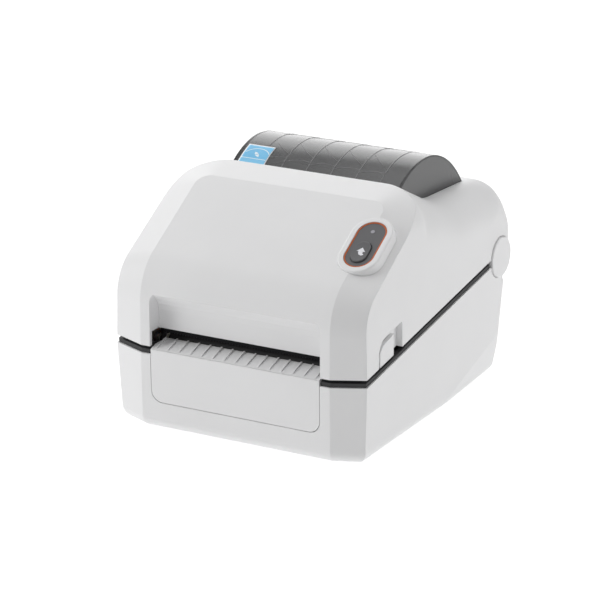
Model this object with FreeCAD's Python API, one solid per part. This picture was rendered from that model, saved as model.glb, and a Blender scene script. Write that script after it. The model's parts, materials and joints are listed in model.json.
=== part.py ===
import FreeCAD, Part
import math
import os

# Desktop thermal label printer, in millimetres.
# X runs across the width, Y from the front face to the rear, Z up from the table.
# Shapes are drawn with the front face near y = 0 and moved to the centred frame on export.

V = FreeCAD.Vector

# ---- overall envelope ----
HALF_W = 92.0            # half width of the housing at the seam
DEPTH = 218.5            # front face to the rear of the cover
CASE_REAR_Y = 216.4      # rear wall of the lower case at the seam
WALL = 2.6               # moulding wall thickness
FAR = 400.0              # reach of cutting blocks

# ---- seam between case and cover ----
SEAM_RISE = 0.164        # seam climbs towards the rear, mm per mm
CASE_TOP_Z = 54.3        # case rim height at the front
COVER_LOW_Z = 59.7       # cover edge height at the front
CASE_DRAFT = 0.043       # inward lean of the case sides, mm per mm going down
COVER_DRAFT = 0.026      # inward lean of the cover sides, mm per mm going up
REAR_DRAFT = 0.095       # lean of the case rear wall
REAR_CORNER_R = 10.0
BOTTOM_R = 9.0           # rounding round the foot of the lower case
CORNER_CUTS = 6          # roundings laid round each rear corner of the foot

# ---- chamfered frame round the hood panel ----
FRONT_Y = 0.4            # plane of the front face
PANEL_HALF = 69.4        # half width of the flat hood panel
CHAMFER_W = 22.6         # chamfer width beside the panel
CHAMFER_D = 7.4          # chamfer depth at the outer edge
BEND_R = 35.0            # bend between the front face and the sloping top
SLOPE_Y = 50.6           # a point on the sloping panel
SLOPE_Z = 138.8
SLOPE_ANGLE = math.atan(0.6)
PANEL_TOP_V = 31.95      # top border of the panel, measured up the slope from that point
PANEL_CORNER_R = 9.5

# ---- rounded body of the cover ----
CREST_Y = 98.1           # where the hood top starts to fall
CREST_Z = 163.0
SADDLE_Y = 134.0         # where the fall meets the saddle behind the hood
SADDLE_Z = 141.2
SADDLE_REAR_Z = 137.4
CREST_RADII = (44.0, 50.0, 14.0)
ROLL_HOOD_R = 25.0       # roll of the flanks along the hood
ROLL_TOP_R = 26.0        # roll of the flanks along the saddle
ROLL_MEET_Y = 115.0      # where one roll changes into the other
ROLL_MEET_SPREAD = 12.0
ROLL_FALL_R = 10.0       # extra roll where the hood falls to the saddle
ROLL_FALL_Y = 105.0
ROLL_FALL_SPREAD = 14.0
ROLL_REAR_R = 9.0        # rounding of the rear corners
ROLL_FADE_Z = 105.0      # height at which the rear corners reach that rounding
REAR_CORE = 36.0         # depth of the line that the sections round the rear edge aim at
ROLL_PITCH = 5.0         # spacing of the sections along the roll
ROLL_STEPS = 8

# ---- window ----
WINDOW_HALF = 63.0
WINDOW_Y = 143.7         # centre of the arch
WINDOW_Z = 65.4
WINDOW_RY = 76.8         # half depth of the arch ellipse
WINDOW_RZ = 102.4        # half height of the arch ellipse
WINDOW_T = 2.2
WINDOW_FRONT_Y = 104.5
WINDOW_LOW_Z = 133.0

# ---- front outlet ----
OUTLET_HALF = 62.5
RECESS_Y = 12.0          # back plane of the hood recess
RECESS_TOP_Z = 97.0
RECESS_CORNER_R = 8.0
SLOT_TOP_Z = 69.4
LIP_BACK_Y = 14.4
LIP_BACK_Z = 62.3
LIP_FRONT_Z = 58.3
LIP_RIBS = 15
LIP_PITCH = 8.35
LIP_CORNER = 4.0         # slanted rear corners of the lip
FRONT_PANEL_HALF = 62.0
FRONT_PANEL_LOW_Z = 22.3
FRONT_PANEL_TOP_Z = 57.9
FRONT_PANEL_T = 2.4
PANEL_GAP = 0.35

# ---- case floor and feet ----
CASE_LOW_Z = 2.5
FOOT_R = 8.0
FOOT_X = 68.0
FOOT_Y = (30.0, 186.0)
FACET_POINTS = (V(92.0, 50.0, 0.0), V(90.2, 197.0, 33.5), V(83.0, 198.0, 2.0))

# ---- gasket ----
GASKET_H = 2.9
GASKET_INSET = 1.0       # inset of the strip from the case skin
GASKET_LIP_INSET = 3.3   # inset of the taller lip behind it
GASKET_IN = 4.6          # inner face of the strip and the lip

# ---- hinge ----
HINGE_Y = 199.5
HINGE_Z = 88.7
BARREL_R = 14.0
CAP_R = 13.9
CAP_SEAT_R = 14.3
CAP_IN_X = 88.6
CAP_OUT_X = 93.2
PIN_R = 3.0
LUG_X0 = 76.0
LUG_X1 = 80.0
LUG_R = 8.0
LUG_REAR = 3.5           # rear face of the lug's post, behind the hinge axis
WEB_X = (71.5, 81.0)     # pin webs of the cover, either side of a lug
WEB_T = 3.3
CASE_REAR_TOP_Z = 69.4   # low rear edge that the cover swings over
COVER_REAR_LOW_Z = 100.7

# ---- paper path ----
PLATEN_Y = 22.0
PLATEN_Z = 58.6
PLATEN_R = 7.0
PLATEN_HALF = 57.5
SHAFT_R = 3.0
RUN_GAP = 0.05           # radial clearance of a running fit
SIDE_IN = 60.0           # inner face of the chassis side plates
SIDE_OUT = 63.5
HEAD_PIVOT_Y = 46.0
HEAD_PIVOT_Z = 74.0
HEAD_PIN_R = 2.0
SPRING_X = (44.0, -50.0)
SPRING_R = 3.0
SPRING_WIRE_R = 0.5
SPRING_PITCH = 1.4
SPRING_TURNS = 5

# ---- gears ----
GEAR_X0 = -76.0
GEAR_X1 = -71.0
MODULE = 0.8
PLATEN_TEETH = 28
IDLER_TEETH = 34
PINION_TEETH = 14
IDLER_ANGLE = math.radians(-50.0)
PINION_ANGLE = math.radians(-10.0)
PRESSURE_ANGLE = math.radians(20.0)
BACKLASH = 0.16

# ---- media bay ----
BAY_HALF = 66.0
ROLL_Y = 129.0
ROLL_Z = 95.0
BAY_R = 54.0
BAY_T = 2.5
GUIDE_X = 52.0           # inner face of a media guide at rest
GUIDE_T = 4.0
HUB_R = 18.5
HUB_T = 7.0
RACK_Z0 = 30.0
RACK_Z1 = 35.0
RACK_PINION_TEETH = 20

# ---- rear sockets ----
SOCKET_MOUTH = 6.5       # clear depth in front of each contact
SOCKET_DEPTHS = {"dc_inlet": 16.0, "usb_port": 17.0, "ethernet_port": 18.0, "serial_port": 13.0}
SCREW_X = (-52.0, 31.2)
SCREW_Z = 39.5

# ---- latch ----
LATCH_Y = 50.0
LATCH_Z = 96.0
LATCH_R = 3.0
GRIP_Y0 = 24.0
GRIP_Y1 = 56.0
GRIP_H = 17.0
GRIP_FLOOR_X = 87.6

# ---- control unit, placed on the sloping panel ----
CONTROL_U = 70.5
CONTROL_V = -5.75
CONTROL_RUN = 9.4        # centre to arc centre of the pill shape
BEZEL_R = 14.4
BEZEL_FLARE = 1.2        # growth of the bezel down to its foot
BEZEL_TOP_W = 1.2
BEZEL_LOW_W = -8.6
BEZEL_RIM_R = 1.3
RING_R = 10.2
FACE_R = 9.2
BUTTON_V = -12.5
BUTTON_R = 5.4
BUTTON_RUN = 3.4
BUTTON_TOP_W = 2.0
DISH_R = 60.0            # hollow in the top of the button
DISH_DEPTH = 0.5
LED_V = 5.8
LED_R = 1.35
BOARD_W = -10.4          # underside of the control board

PARTS = {}


# ---------------------------------------------------------------- basic solids
def box(x0, x1, y0, y1, z0, z1):
    return Part.makeBox(x1 - x0, y1 - y0, z1 - z0, V(x0, y0, z0))


def rod_x(x0, x1, y, z, r):
    return Part.makeCylinder(r, x1 - x0, V(x0, y, z), V(1, 0, 0))


def rod_y(x, y0, y1, z, r):
    return Part.makeCylinder(r, y1 - y0, V(x, y0, z), V(0, 1, 0))


def rod_z(x, y, z0, z1, r):
    return Part.makeCylinder(r, z1 - z0, V(x, y, z0), V(0, 0, 1))


def prism_x(points, x0, x1):
    """Extrude a (y, z) polygon along X."""
    corners = [V(x0, y, z) for y, z in points]
    face = Part.Face(Part.makePolygon(corners + [corners[0]]))
    return face.extrude(V(x1 - x0, 0, 0))


def prism_z(points, z0, z1):
    """Extrude an (x, y) polygon along Z."""
    corners = [V(x, y, z0) for x, y in points]
    face = Part.Face(Part.makePolygon(corners + [corners[0]]))
    return face.extrude(V(0, 0, z1 - z0))


def prism_y(points, y0, y1):
    """Extrude an (x, z) polygon along Y."""
    corners = [V(x, y0, z) for x, z in points]
    face = Part.Face(Part.makePolygon(corners + [corners[0]]))
    return face.extrude(V(0, y1 - y0, 0))


def rounded_box_y(half_x, y0, y1, z0, z1, r):
    """Box with its four edges along Y rounded."""
    solid = box(-half_x, half_x, y0, y1, z0, z1)
    edges = [e for e in solid.Edges if abs(e.tangentAt(e.FirstParameter).y) > 0.9]
    return solid.makeFillet(r, edges)


def half_space(point, normal):
    """Large block on the side of a plane that the normal points to."""
    block = Part.makeBox(2 * FAR, 2 * FAR, FAR, V(-FAR, -FAR, 0))
    block.Placement = FreeCAD.Placement(point, FreeCAD.Rotation(V(0, 0, 1), normal))
    return block


def join(solids):
    first = solids[0]
    return first.fuse(solids[1:]).removeSplitter() if len(solids) > 1 else first


def mirrored(solid):
    return solid.mirror(V(0, 0, 0), V(1, 0, 0))


def both_sides(solid):
    return [solid, mirrored(solid)]


def add(name, shape):
    PARTS[name] = shape


# ---------------------------------------------------------------- outer forms
def case_rim(y):
    return CASE_TOP_Z + SEAM_RISE * y


def cover_rim(y):
    return COVER_LOW_Z + SEAM_RISE * y


def above_seam(z_front):
    """Block above the inclined plane that starts at z_front on the front face."""
    return half_space(V(0, 0, z_front), V(0, -SEAM_RISE, 1))


def plan_outline(t, d):
    """Housing plan, t inside the outer skin and d below the seam plane."""
    side = HALF_W - t - CASE_DRAFT * d
    panel = PANEL_HALF - 0.16 * t
    front = FRONT_Y + t + 0.02 * d
    corner = FRONT_Y + CHAMFER_D + 0.727 * t + CASE_DRAFT * d
    rear = CASE_REAR_Y - t - REAR_DRAFT * d
    half = [(panel, front), (side, corner), (side, rear)]
    return half + [(-x, y) for x, y in reversed(half)]


def case_form(t):
    """Solid lower-case form, t inside the outer skin, up to above the seam."""
    rings = []
    for d in (-30.0, 110.0):
        ring = [V(x, y, case_rim(y) - d) for x, y in plan_outline(t, d)]
        rings.append(Part.makePolygon(ring + [ring[0]]))
    solid = Part.makeLoft(rings, True, True)
    rear = [e for e in solid.Edges if e.Length > 100 and e.CenterOfMass.y > 150
            and abs(e.CenterOfMass.x) > 60 and abs(e.tangentAt(e.FirstParameter).z) > 0.9]
    return solid.makeFillet(REAR_CORNER_R - t, rear)


def rounding_cutter(point, along, wall, r):
    """Long bar that rounds the edge between the floor and a wall with outward normal wall."""
    down = V(0, 0, -1)
    centre = point - (wall + down) * (r / (1 + wall.dot(down)))
    a = centre + wall * r
    b = centre + down * r
    middle = wall + down
    middle.normalize()
    margin = 5.0
    corner = point + (wall + down) * margin
    lines = [Part.makeLine(a, a + wall * margin), Part.makeLine(a + wall * margin, corner),
             Part.makeLine(corner, b + down * margin), Part.makeLine(b + down * margin, b),
             Part.Arc(b, centre + middle * r, a).toShape()]
    face = Part.Face(Part.Wire(lines))
    face.translate(along * -FAR)
    return face.extrude(along * 2 * FAR)


def round_foot(solid, z, r):
    """Round the edges in the floor plane at height z, with mitred corners."""
    cutters = []
    for edge in solid.Edges:
        if edge.BoundBox.ZMax > z + 0.01 or edge.Length < 3.0:
            continue
        count = CORNER_CUTS if edge.Curve.TypeId != "Part::GeomLine" else 1
        faces = [f for f in solid.ancestorsOfType(edge, Part.Face) if f.BoundBox.ZMax > z + 1.0]
        for i in range(count):
            step = (edge.LastParameter - edge.FirstParameter) / count
            at = edge.FirstParameter + step * (i + 0.5)
            point, along = edge.valueAt(at), edge.tangentAt(at)
            u, v = faces[0].Surface.parameter(point)
            wall = faces[0].normalAt(u, v)
            cutters.append(rounding_cutter(point, along, wall, r))
    for cutter in cutters:
        solid = solid.cut(cutter)
    return solid


def side_facet():
    """Blocks that trim the lower rear flanks along a slanting line."""
    start, high, low = FACET_POINTS
    normal = (high - start).cross(low - start)
    normal.normalize()
    if normal.x < 0:
        normal = normal * -1
    return both_sides(half_space(start, normal))


def front_ring(d, x):
    """Closed profile of the bent front, d inside the skin, drawn at one x."""
    c_y = FRONT_Y + BEND_R
    c_z = slope_z(FRONT_Y) - BEND_R * math.tan((math.pi / 2 - SLOPE_ANGLE) / 2)
    r = BEND_R - d
    end = math.pi / 2 + SLOPE_ANGLE
    mid = (math.pi + end) / 2
    low = V(x, c_y - r, 20.0)
    a = V(x, c_y - r, c_z)
    b = V(x, c_y + r * math.cos(mid), c_z + r * math.sin(mid))
    c = V(x, c_y + r * math.cos(end), c_z + r * math.sin(end))
    run = 260.0
    e = c + V(0, math.cos(SLOPE_ANGLE), math.sin(SLOPE_ANGLE)) * run
    g = V(x, e.y, 20.0)
    edges = [Part.makeLine(low, a), Part.Arc(a, b, c).toShape(), Part.makeLine(c, e),
             Part.makeLine(e, g), Part.makeLine(g, low)]
    return Part.Wire(edges)


def slope_z(y):
    return SLOPE_Z + math.tan(SLOPE_ANGLE) * (y - SLOPE_Y)


def front_form(t):
    """Everything behind the bent front face and its side chamfers."""
    ratio = CHAMFER_D / CHAMFER_W
    inner_x = PANEL_HALF - 0.16 * t
    outer_x = HALF_W + 2.0
    inner_d = t
    outer_d = t / math.cos(math.atan(ratio)) + (outer_x - PANEL_HALF) * ratio
    middle = Part.Face(front_ring(inner_d, -inner_x)).extrude(V(2 * inner_x, 0, 0))
    wing = Part.makeLoft([front_ring(inner_d, inner_x), front_ring(outer_d, outer_x)], True, True)
    return join([middle] + both_sides(wing))


def chamfer_ring(t, w):
    """Rounded outline of the hood frame at height w over the sloping panel."""
    grow = -(w + t) * CHAMFER_W / CHAMFER_D
    half = PANEL_HALF - 0.16 * t + grow
    top = PANEL_TOP_V - 0.16 * t + grow
    r = PANEL_CORNER_R + grow
    low = -320.0
    k = r * (1 - math.sqrt(0.5))
    pts = [(-half, low), (half, low), (half, top - r), (half - k, top - k), (half - r, top),
           (r - half, top), (k - half, top - k), (-half, top - r)]
    c, s = math.cos(SLOPE_ANGLE), math.sin(SLOPE_ANGLE)
    p = [V(u, SLOPE_Y + v * c - w * s, SLOPE_Z + v * s + w * c) for u, v in pts]
    edges = [Part.makeLine(p[0], p[1]), Part.makeLine(p[1], p[2]),
             Part.Arc(p[2], p[3], p[4]).toShape(), Part.makeLine(p[4], p[5]),
             Part.Arc(p[5], p[6], p[7]).toShape(), Part.makeLine(p[7], p[0])]
    return Part.Wire(edges)


def frame_form(t):
    """Everything below the top chamfer and the side chamfers of the hood."""
    return Part.makeLoft([chamfer_ring(t, 2.0 - t), chamfer_ring(t, -175.0 - t)], True, True)


def blended_path(corners, radii, step):
    """Points and outward normals along a (y, z) polyline whose corners are rounded."""
    samples = []
    start = corners[0]
    for i in range(1, len(corners) - 1):
        before, here, after = corners[i - 1], corners[i], corners[i + 1]
        a_in = math.atan2(here[1] - before[1], here[0] - before[0])
        a_out = math.atan2(after[1] - here[1], after[0] - here[0])
        turn = a_out - a_in
        reach = radii[i - 1] * abs(math.tan(turn / 2))
        p = (here[0] - reach * math.cos(a_in), here[1] - reach * math.sin(a_in))
        samples += line_samples(start, p, step)
        count = max(5, int(radii[i - 1] * abs(turn) / step))
        side = math.copysign(1.0, turn)
        centre = (p[0] - side * radii[i - 1] * math.sin(a_in),
                  p[1] + side * radii[i - 1] * math.cos(a_in))
        for k in range(count):
            a = a_in + turn * k / count
            q = (centre[0] + side * radii[i - 1] * math.sin(a),
                 centre[1] - side * radii[i - 1] * math.cos(a))
            samples.append((q, a))
        start = (here[0] + reach * math.cos(a_out), here[1] + reach * math.sin(a_out))
    samples += line_samples(start, corners[-1], step)
    samples.append((corners[-1], samples[-1][1]))
    return [(q[0], q[1], -math.sin(a), math.cos(a)) for q, a in samples]


def line_samples(p, q, step):
    length = math.hypot(q[0] - p[0], q[1] - p[1])
    count = max(2, int(length / step))
    angle = math.atan2(q[1] - p[1], q[0] - p[0])
    return [((p[0] + (q[0] - p[0]) * k / count, p[1] + (q[1] - p[1]) * k / count), angle)
            for k in range(count)]


def cover_side(y, z, t):
    """Half width of the cover's leaning side at a point."""
    return HALF_W - t - COVER_DRAFT * (z - cover_rim(y))


def roll_radius(y, z):
    """Radius of the rolled edge at a point of the cover's centre profile."""
    share = 0.5 + 0.5 * math.tanh((y - ROLL_MEET_Y) / ROLL_MEET_SPREAD)
    top = ROLL_HOOD_R + (ROLL_TOP_R - ROLL_HOOD_R) * share
    top += ROLL_FALL_R * math.exp(-((y - ROLL_FALL_Y) / ROLL_FALL_SPREAD) ** 2)
    climb = min(1.0, max(0.0, (z - ROLL_FADE_Z) / (SADDLE_REAR_Z - ROLL_FADE_Z)))
    return ROLL_REAR_R + (top - ROLL_REAR_R) * climb * climb * (3 - 2 * climb)


def section_direction(y, z, ny, nz):
    """Way in from a profile point: against its normal, or at the core line near the rear edge."""
    slope = (SADDLE_REAR_Z - SADDLE_Z) / (DEPTH - SADDLE_Y)
    core_y = DEPTH - REAR_CORE
    core_z = SADDLE_Z + slope * (core_y - SADDLE_Y) - REAR_CORE * math.hypot(1.0, slope)
    past = (y - core_y) + slope * (z - core_z)
    if y < core_y or past <= 0 or z <= core_z:
        return -ny, -nz
    reach = math.hypot(core_y - y, core_z - z)
    return (core_y - y) / reach, (core_z - z) / reach


def roll_surface(t):
    """Rolled edge between the saddle top and the right side of the cover."""
    corners = [(-25.0, CREST_Z), (CREST_Y, CREST_Z), (SADDLE_Y, SADDLE_Z),
               (DEPTH, SADDLE_REAR_Z), (DEPTH, 20.0)]
    rows = []
    for y, z, ny, nz in blended_path(corners, CREST_RADII, ROLL_PITCH):
        r = roll_radius(y, z) - t
        y0, z0 = y - ny * t, z - nz * t
        dy, dz = section_direction(y, z, ny, nz)
        side = cover_side(y0 + dy * r, z0 + dz * r, t)
        row = []
        for k in range(ROLL_STEPS + 1):
            a = math.pi / 2 * k / ROLL_STEPS
            drop = r * (1 - math.cos(a))
            row.append(V(side - r + r * math.sin(a), y0 + dy * drop, z0 + dz * drop))
        rows.append(row)
    surface = Part.BSplineSurface()
    surface.interpolate(rows)
    return surface.toShape()


def flipped(p):
    return V(-p.x, p.y, p.z)


def face_of(edges):
    return Part.Face(Part.Wire(Part.__sortEdges__(edges)))


def hull_form(t):
    """Rounded body of the cover: saddle profile across the width with rolled flanks."""
    roll = roll_surface(t)
    other = mirrored(roll)
    crest = min(roll.Edges, key=lambda e: abs(e.CenterOfMass.x) if e.Length > 200 else FAR)
    rim = max(roll.Edges, key=lambda e: abs(e.CenterOfMass.x) if e.Length > 200 else 0)
    front = min(roll.Edges, key=lambda e: e.CenterOfMass.y)
    low = min(roll.Edges, key=lambda e: e.CenterOfMass.z)
    top = Part.makeRuledSurface(crest, mirrored(crest))
    rim_ends = sorted([v.Point for v in rim.Vertexes], key=lambda p: p.y)
    crest_ends = sorted([v.Point for v in crest.Vertexes], key=lambda p: p.y)
    foot = V(cover_side(rim_ends[0].y, 20.0, t), rim_ends[0].y, 20.0)
    side = face_of([rim, Part.makeLine(rim_ends[0], foot), Part.makeLine(foot, rim_ends[1])])
    ends = []
    for edge, i in ((front, 0), (low, 1)):
        ends.append(face_of([edge, Part.makeLine(crest_ends[i], flipped(crest_ends[i])), mirrored(edge),
                             Part.makeLine(rim_ends[i], foot), Part.makeLine(foot, flipped(foot)),
                             Part.makeLine(flipped(rim_ends[i]), flipped(foot))]))
    shell = Part.makeShell([roll, other, top, side, mirrored(side)] + ends)
    shell.sewShape()
    return Part.makeSolid(Part.Shell(shell.Faces))


def cover_form(t):
    return hull_form(t).common(front_form(t)).common(frame_form(t))


# ---------------------------------------------------------------- shared details
def on_slope(solid):
    """Move a solid drawn in panel coordinates (u, v, w) onto the sloping panel."""
    turn = FreeCAD.Rotation(V(1, 0, 0), math.degrees(SLOPE_ANGLE))
    solid.Placement = FreeCAD.Placement(V(0, SLOPE_Y, SLOPE_Z), turn)
    return solid


def pill_wire(u, v, run, r, w):
    """Pill outline with its long axis up the slope."""
    a = V(u + r, v - run, w)
    b = V(u + r, v + run, w)
    c = V(u - r, v + run, w)
    d = V(u - r, v - run, w)
    top = Part.Arc(b, V(u, v + run + r, w), c).toShape()
    low = Part.Arc(d, V(u, v - run - r, w), a).toShape()
    return Part.Wire([Part.makeLine(a, b), top, Part.makeLine(c, d), low])


def pill(u, v, run, r, w0, w1):
    return Part.Face(pill_wire(u, v, run, r, w0)).extrude(V(0, 0, w1 - w0))


def bezel_block(grow):
    """Drafted pill block that stands through the hood skin."""
    low = pill_wire(CONTROL_U, CONTROL_V, CONTROL_RUN, BEZEL_R + BEZEL_FLARE + grow, BEZEL_LOW_W)
    top = pill_wire(CONTROL_U, CONTROL_V, CONTROL_RUN, BEZEL_R + grow, BEZEL_TOP_W)
    block = Part.makeLoft([low, top], True, True)
    rim = [e for e in block.Edges if e.BoundBox.ZMin > BEZEL_TOP_W - 0.01]
    return on_slope(block.makeFillet(BEZEL_RIM_R, rim))


def arch_face(x, grow, low_z, front_y):
    """Half-barrel window profile as a face at one x."""
    ry = WINDOW_RY + grow
    rz = WINDOW_RZ + grow
    count = 24
    y_end = WINDOW_Y + ry * math.sqrt(1 - ((low_z - WINDOW_Z) / rz) ** 2)
    pts = []
    for k in range(count + 1):
        y = front_y + (y_end - front_y) * math.sin(math.pi / 2 * k / count)
        z = WINDOW_Z + rz * math.sqrt(max(0.0, 1 - ((y - WINDOW_Y) / ry) ** 2))
        pts.append(V(x, y, z))
    curve = Part.BSplineCurve()
    curve.interpolate(pts)
    foot = V(x, front_y, low_z)
    wire = Part.Wire([curve.toShape(), Part.makeLine(pts[-1], foot), Part.makeLine(foot, pts[0])])
    return Part.Face(wire)


def arch(half_x, grow, low_z, front_y):
    return arch_face(-half_x, grow, low_z, front_y).extrude(V(2 * half_x, 0, 0))


def grip_outline(grow):
    """Side grip pocket, rising with the seam."""
    y0, y1 = GRIP_Y0 - grow, GRIP_Y1 + grow
    h = GRIP_H + grow
    return [(y0, cover_rim(y0) - 6.0), (y0, cover_rim(y0) + h - 7.0),
            (y0 + 2.0, cover_rim(y0) + h - 3.2), (y0 + 6.0, cover_rim(y0 + 6.0) + h - 0.8),
            (y0 + 9.0, cover_rim(y0 + 9.0) + h), (y1, cover_rim(y1) + h), (y1, cover_rim(y1) - 6.0)]


def gear(teeth, x0, x1, y, z, phase, bore):
    """Spur gear about an X axis; phase is the angle of one tooth centre in the Y-Z plane."""
    pitch_r = MODULE * teeth / 2
    base_r = pitch_r * math.cos(PRESSURE_ANGLE)
    tip_r = pitch_r + 0.9 * MODULE
    root_r = pitch_r - 1.2 * MODULE
    half = math.pi / (2 * teeth) - BACKLASH / (2 * pitch_r)
    inv_pitch = math.tan(PRESSURE_ANGLE) - PRESSURE_ANGLE
    flank = []
    steps = 5
    start_r = max(base_r, root_r)
    for k in range(steps + 1):
        r = start_r + (tip_r - start_r) * k / steps
        a = math.acos(min(1.0, base_r / r))
        flank.append((r, half + inv_pitch - (math.tan(a) - a)))
    outline = []
    for i in range(teeth):
        centre = phase + 2 * math.pi * i / teeth
        outline.append((root_r, centre - flank[0][1]))
        outline += [(r, centre - a) for r, a in flank]
        outline += [(r, centre + a) for r, a in reversed(flank)]
        outline.append((root_r, centre + flank[0][1]))
    pts = [(y + r * math.cos(a), z + r * math.sin(a)) for r, a in outline]
    return prism_x(pts, x0, x1).cut(rod_x(x0 - 1, x1 + 1, y, z, bore))


def gear_centres():
    """Platen, idler and motor pinion centres."""
    r1 = MODULE * (PLATEN_TEETH + IDLER_TEETH) / 2
    r2 = MODULE * (IDLER_TEETH + PINION_TEETH) / 2
    idler = (PLATEN_Y + r1 * math.cos(IDLER_ANGLE), PLATEN_Z + r1 * math.sin(IDLER_ANGLE))
    pinion = (idler[0] + r2 * math.cos(PINION_ANGLE), idler[1] + r2 * math.sin(PINION_ANGLE))
    return idler, pinion


# ---------------------------------------------------------------- lower case
def lower_case():
    above_rim = above_seam(CASE_TOP_Z)
    floor = half_space(V(0, 0, CASE_LOW_Z), V(0, 0, -1))
    outer = round_foot(case_form(0).cut([above_rim, floor] + side_facet()), CASE_LOW_Z, BOTTOM_R)
    inner_facets = side_facet()
    for block, sign in zip(inner_facets, (-1, 1)):
        block.translate(V(sign * WALL, 0, WALL))
    inner_floor = half_space(V(0, 0, CASE_LOW_Z + WALL), V(0, 0, -1))
    hollow = case_form(WALL).cut([inner_floor] + inner_facets)
    hollow = round_foot(hollow, CASE_LOW_Z + WALL, BOTTOM_R - WALL)
    shell = outer.cut(hollow)
    backing = outer.common(box(-OUTLET_HALF, OUTLET_HALF, 0, FRONT_Y + FRONT_PANEL_T + WALL + 0.6,
                               FRONT_PANEL_LOW_Z - 3.0, 55.6))
    shell = join([shell, backing] + case_trough(outer))
    cuts = [panel_form(PANEL_GAP), box(-OUTLET_HALF, OUTLET_HALF, -5, 20, 55.6, 80)]
    cuts += both_sides(rod_x(CAP_IN_X - 0.4, HALF_W + 5, HINGE_Y, HINGE_Z, CAP_SEAT_R))
    cuts += [box(-HALF_W - 5, HALF_W + 5, HINGE_Y + 5.0, DEPTH + 5, CASE_REAR_TOP_Z, 110)]
    cuts += [box(-57.0, 57.0, 195, DEPTH + 5, 14.0, 44.0)]
    shell = shell.cut(cuts)
    posts = [rod_z(x, y, CASE_LOW_Z + 1.0, 8.0, 4.0) for x in (-70.0, 70.0) for y in (84.0, 190.0)]
    return join([shell] + posts).cut(foot_seats())


def foot_seats():
    return [rod_z(x, y, 0.0, CASE_LOW_Z + 0.8, FOOT_R) for x in (-FOOT_X, FOOT_X) for y in FOOT_Y]


def case_trough(outer):
    """Rear trough round the hinge barrel, and the two hinge lugs."""
    ring = rod_x(-HALF_W, HALF_W, HINGE_Y, HINGE_Z, 17.0)
    room = rod_x(-HALF_W - 1, HALF_W + 1, HINGE_Y, HINGE_Z, 14.6)
    behind = box(-HALF_W - 1, HALF_W + 1, HINGE_Y + 2.4, DEPTH, 60, 120)
    ring = ring.cut([room, behind])
    wall = box(-HALF_W, HALF_W, HINGE_Y, HINGE_Y + 2.4, 67.0, HINGE_Z - 14.5)
    shelf = box(-HALF_W, HALF_W, HINGE_Y, DEPTH, 67.0, CASE_REAR_TOP_Z)
    trough = join([ring, wall, shelf]).common(outer)
    lug = join([box(LUG_X0, LUG_X1, HINGE_Y - LUG_R, HINGE_Y + LUG_REAR, CASE_LOW_Z + 1, HINGE_Z),
                rod_x(LUG_X0, LUG_X1, HINGE_Y, HINGE_Z, LUG_R)])
    lug = lug.cut(rod_x(LUG_X0 - 1, LUG_X1 + 1, HINGE_Y, HINGE_Z, PIN_R))
    return [trough] + both_sides(lug)


def panel_form(gap):
    """Front panel block with rounded lower corners."""
    block = rounded_box_y(FRONT_PANEL_HALF + gap, -8.0, FRONT_Y + FRONT_PANEL_T + gap,
                          FRONT_PANEL_LOW_Z - gap, FRONT_PANEL_TOP_Z + 20.0, RECESS_CORNER_R)
    return block.cut(box(-HALF_W, HALF_W, -10, 30, FRONT_PANEL_TOP_Z + gap, 120))


def front_panel():
    return case_form(0).common(panel_form(0))


def label_lip():
    half = OUTLET_HALF - 0.5
    body = prism_x([(0.6, FRONT_PANEL_TOP_Z + 0.05), (0.6, LIP_FRONT_Z), (LIP_BACK_Y, LIP_BACK_Z),
                    (LIP_BACK_Y, LIP_BACK_Z - 2.6), (6.0, 55.7), (3.2, 55.7),
                    (3.2, FRONT_PANEL_TOP_Z + 0.05)], -half, half)
    slope = (LIP_BACK_Z - LIP_FRONT_Z) / (LIP_BACK_Y - 0.6)
    ribs = []
    for i in range(LIP_RIBS):
        x = (i - (LIP_RIBS - 1) / 2) * LIP_PITCH
        y0, y1 = 1.8, LIP_BACK_Y - 0.2
        z0 = LIP_FRONT_Z + slope * (y0 - 0.6)
        z1 = LIP_FRONT_Z + slope * (y1 - 0.6)
        ribs.append(prism_x([(y0, z0 - 0.5), (y0, z0 + 0.15), (y0 + 2.0, z0 + slope * 2 + 0.8),
                             (y1, z1 + 0.8), (y1, z1 - 0.5)], x - 0.55, x + 0.55))
    corner = prism_z([(-half - 1, 4.0), (-half - 1, LIP_BACK_Y + 1), (LIP_CORNER - half, LIP_BACK_Y + 1)],
                     50.0, 70.0)
    return join([body] + ribs).cut(both_sides(corner))


def gasket():
    """Dark strip on the case rim, with a taller inner lip that shadows the gap."""
    rim = above_seam(CASE_TOP_Z + 0.02)
    core = case_form(GASKET_IN)
    strip = case_form(GASKET_INSET).cut(core).common(rim).cut(above_seam(CASE_TOP_Z + GASKET_H))
    lip = case_form(GASKET_LIP_INSET).cut(core).common(rim).cut(above_seam(COVER_LOW_Z + WALL))
    ring = join([strip, lip])
    ring = ring.cut([box(-OUTLET_HALF, OUTLET_HALF, -5, 40, 0, 120),
                     box(-HALF_W - 5, HALF_W + 5, HINGE_Y - 15.2, DEPTH + 5, 0, 140)])
    keep = above_seam(CASE_TOP_Z + GASKET_H - 0.5)
    ring = ring.cut(both_sides(box(84, 96, GRIP_Y0 - 4, GRIP_Y1 + 4, 50, 90).common(keep)))
    turn = box(OUTLET_HALF, OUTLET_HALF + 2.0, 4.0, 13.6, case_rim(4) + 0.3, 60.2)
    right = [q for q in ring.Solids if q.CenterOfMass.x > 0][0]
    right = right.fuse(turn).removeSplitter()
    return Part.makeCompound([right, mirrored(right)])


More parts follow.
